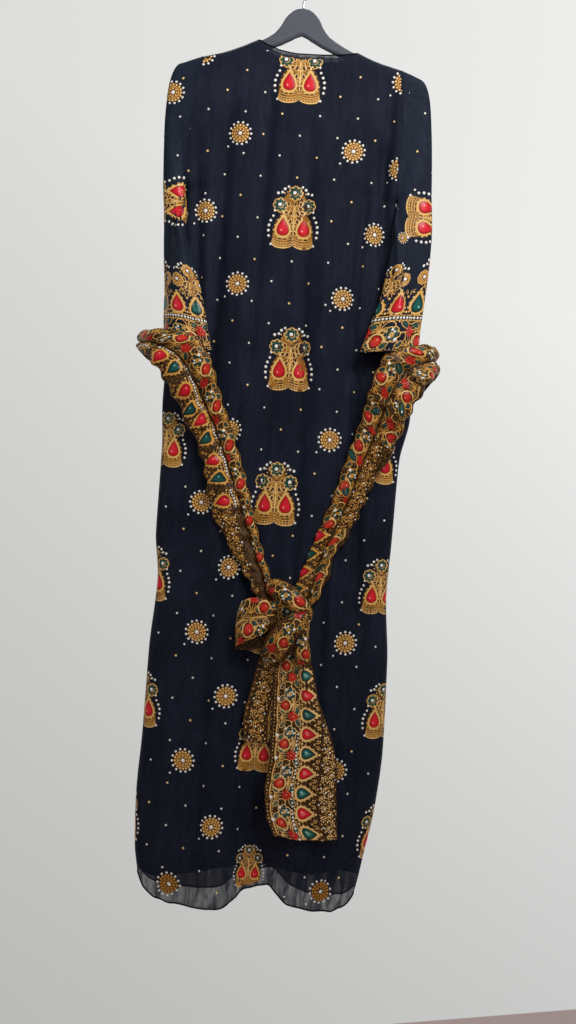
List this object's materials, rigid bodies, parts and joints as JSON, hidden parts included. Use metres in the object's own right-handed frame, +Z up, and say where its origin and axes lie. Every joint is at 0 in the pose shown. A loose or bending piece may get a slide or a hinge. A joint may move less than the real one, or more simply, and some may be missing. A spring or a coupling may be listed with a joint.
{
  "type": "long printed kaftan with a sash on a flat wooden hanger",
  "caption": "Long sheer kaftan with a jewel print, an inner lining, wide sleeves and a knotted sash, hanging on a flat wooden hanger with a wire hook.",
  "frame": {"origin": "inner top of the hanger's hook, where a rail carries it", "axes": "+Z up, -Y the garment's front, +X to the right of a viewer who faces the front"},
  "size_m": [0.5086, 0.112, 1.5919],
  "materials": {
    "navy_georgette": "matt crepe with a printed jewel pattern",
    "dark_lining": "smooth plain weave",
    "printed_sash": "matt crepe with a dense jewel print",
    "painted_wood": "satin grey paint",
    "hook_steel": "bright drawn wire"
  },
  "bodies": {
    "root": {"hanger_body": "painted_wood", "hanger_hook": "hook_steel", "body_front": "navy_georgette", "body_back": "navy_georgette", "lining_front": "dark_lining", "lining_back": "dark_lining", "sleeve_left": "navy_georgette", "sleeve_right": "navy_georgette", "neck_binding": "navy_georgette", "sash_back": "printed_sash", "sash_arm_left": "printed_sash", "sash_arm_right": "printed_sash", "sash_knot": "printed_sash", "sash_loop": "printed_sash", "sash_tail_front": "printed_sash", "sash_tail_back": "printed_sash"}
  },
  "joints": []
}
